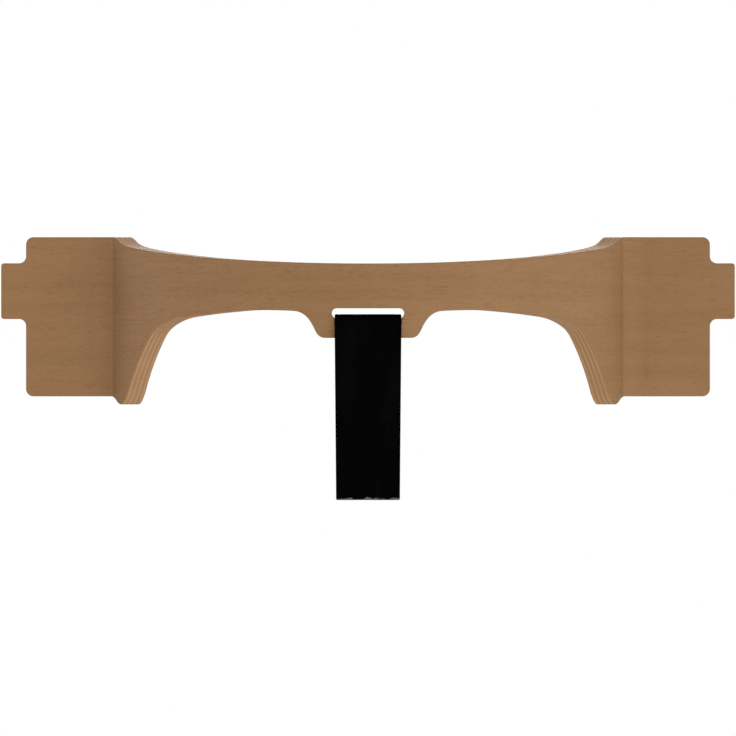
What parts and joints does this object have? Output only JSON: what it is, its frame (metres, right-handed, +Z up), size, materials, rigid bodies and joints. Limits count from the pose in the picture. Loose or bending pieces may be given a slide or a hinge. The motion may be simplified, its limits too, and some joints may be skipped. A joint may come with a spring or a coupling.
{
  "type": "high chair front guard",
  "caption": "Bow-shaped guard of bent laminated wood for a child's high chair, with end tabs, thigh cut-outs and a black crotch strap looped through its lug.",
  "frame": {"origin": "midway between the two end tabs, at mid-thickness of the board and mid-height of the tabs", "axes": "+X across the chair to the right seen from outside, +Z up, -Y out from the child, towards the front of the bow"},
  "size_m": [0.4212, 0.1171, 0.1504],
  "materials": {
    "face_wood": "satin lacquer, fine straight grain along the bow",
    "core_wood_a": "sawn and sanded edge of a core ply, satin lacquer",
    "core_wood_b": "sawn and sanded edge of a cross ply, satin lacquer",
    "strap_leather": "smooth black leather, matt edges",
    "thread": "waxed black thread"
  },
  "bodies": {
    "bar": {"front_face_veneer": "face_wood", "core_ply_1": "core_wood_a", "core_ply_2": "core_wood_b", "core_ply_3": "core_wood_a", "core_ply_4": "core_wood_b", "core_ply_5": "core_wood_a", "core_ply_6": "core_wood_b", "core_ply_7": "core_wood_a", "back_face_veneer": "face_wood"},
    "strap": {"crotch_strap": "strap_leather", "lap_stitching": "thread"}
  },
  "joints": [
    {"name": "strap_swing", "type": "hinge", "parent": "bar", "child": "strap", "pos_m": [0, -0.10168, -0.0228], "axis": [1, 0, 0], "range_deg": [-90, 90]}
  ]
}
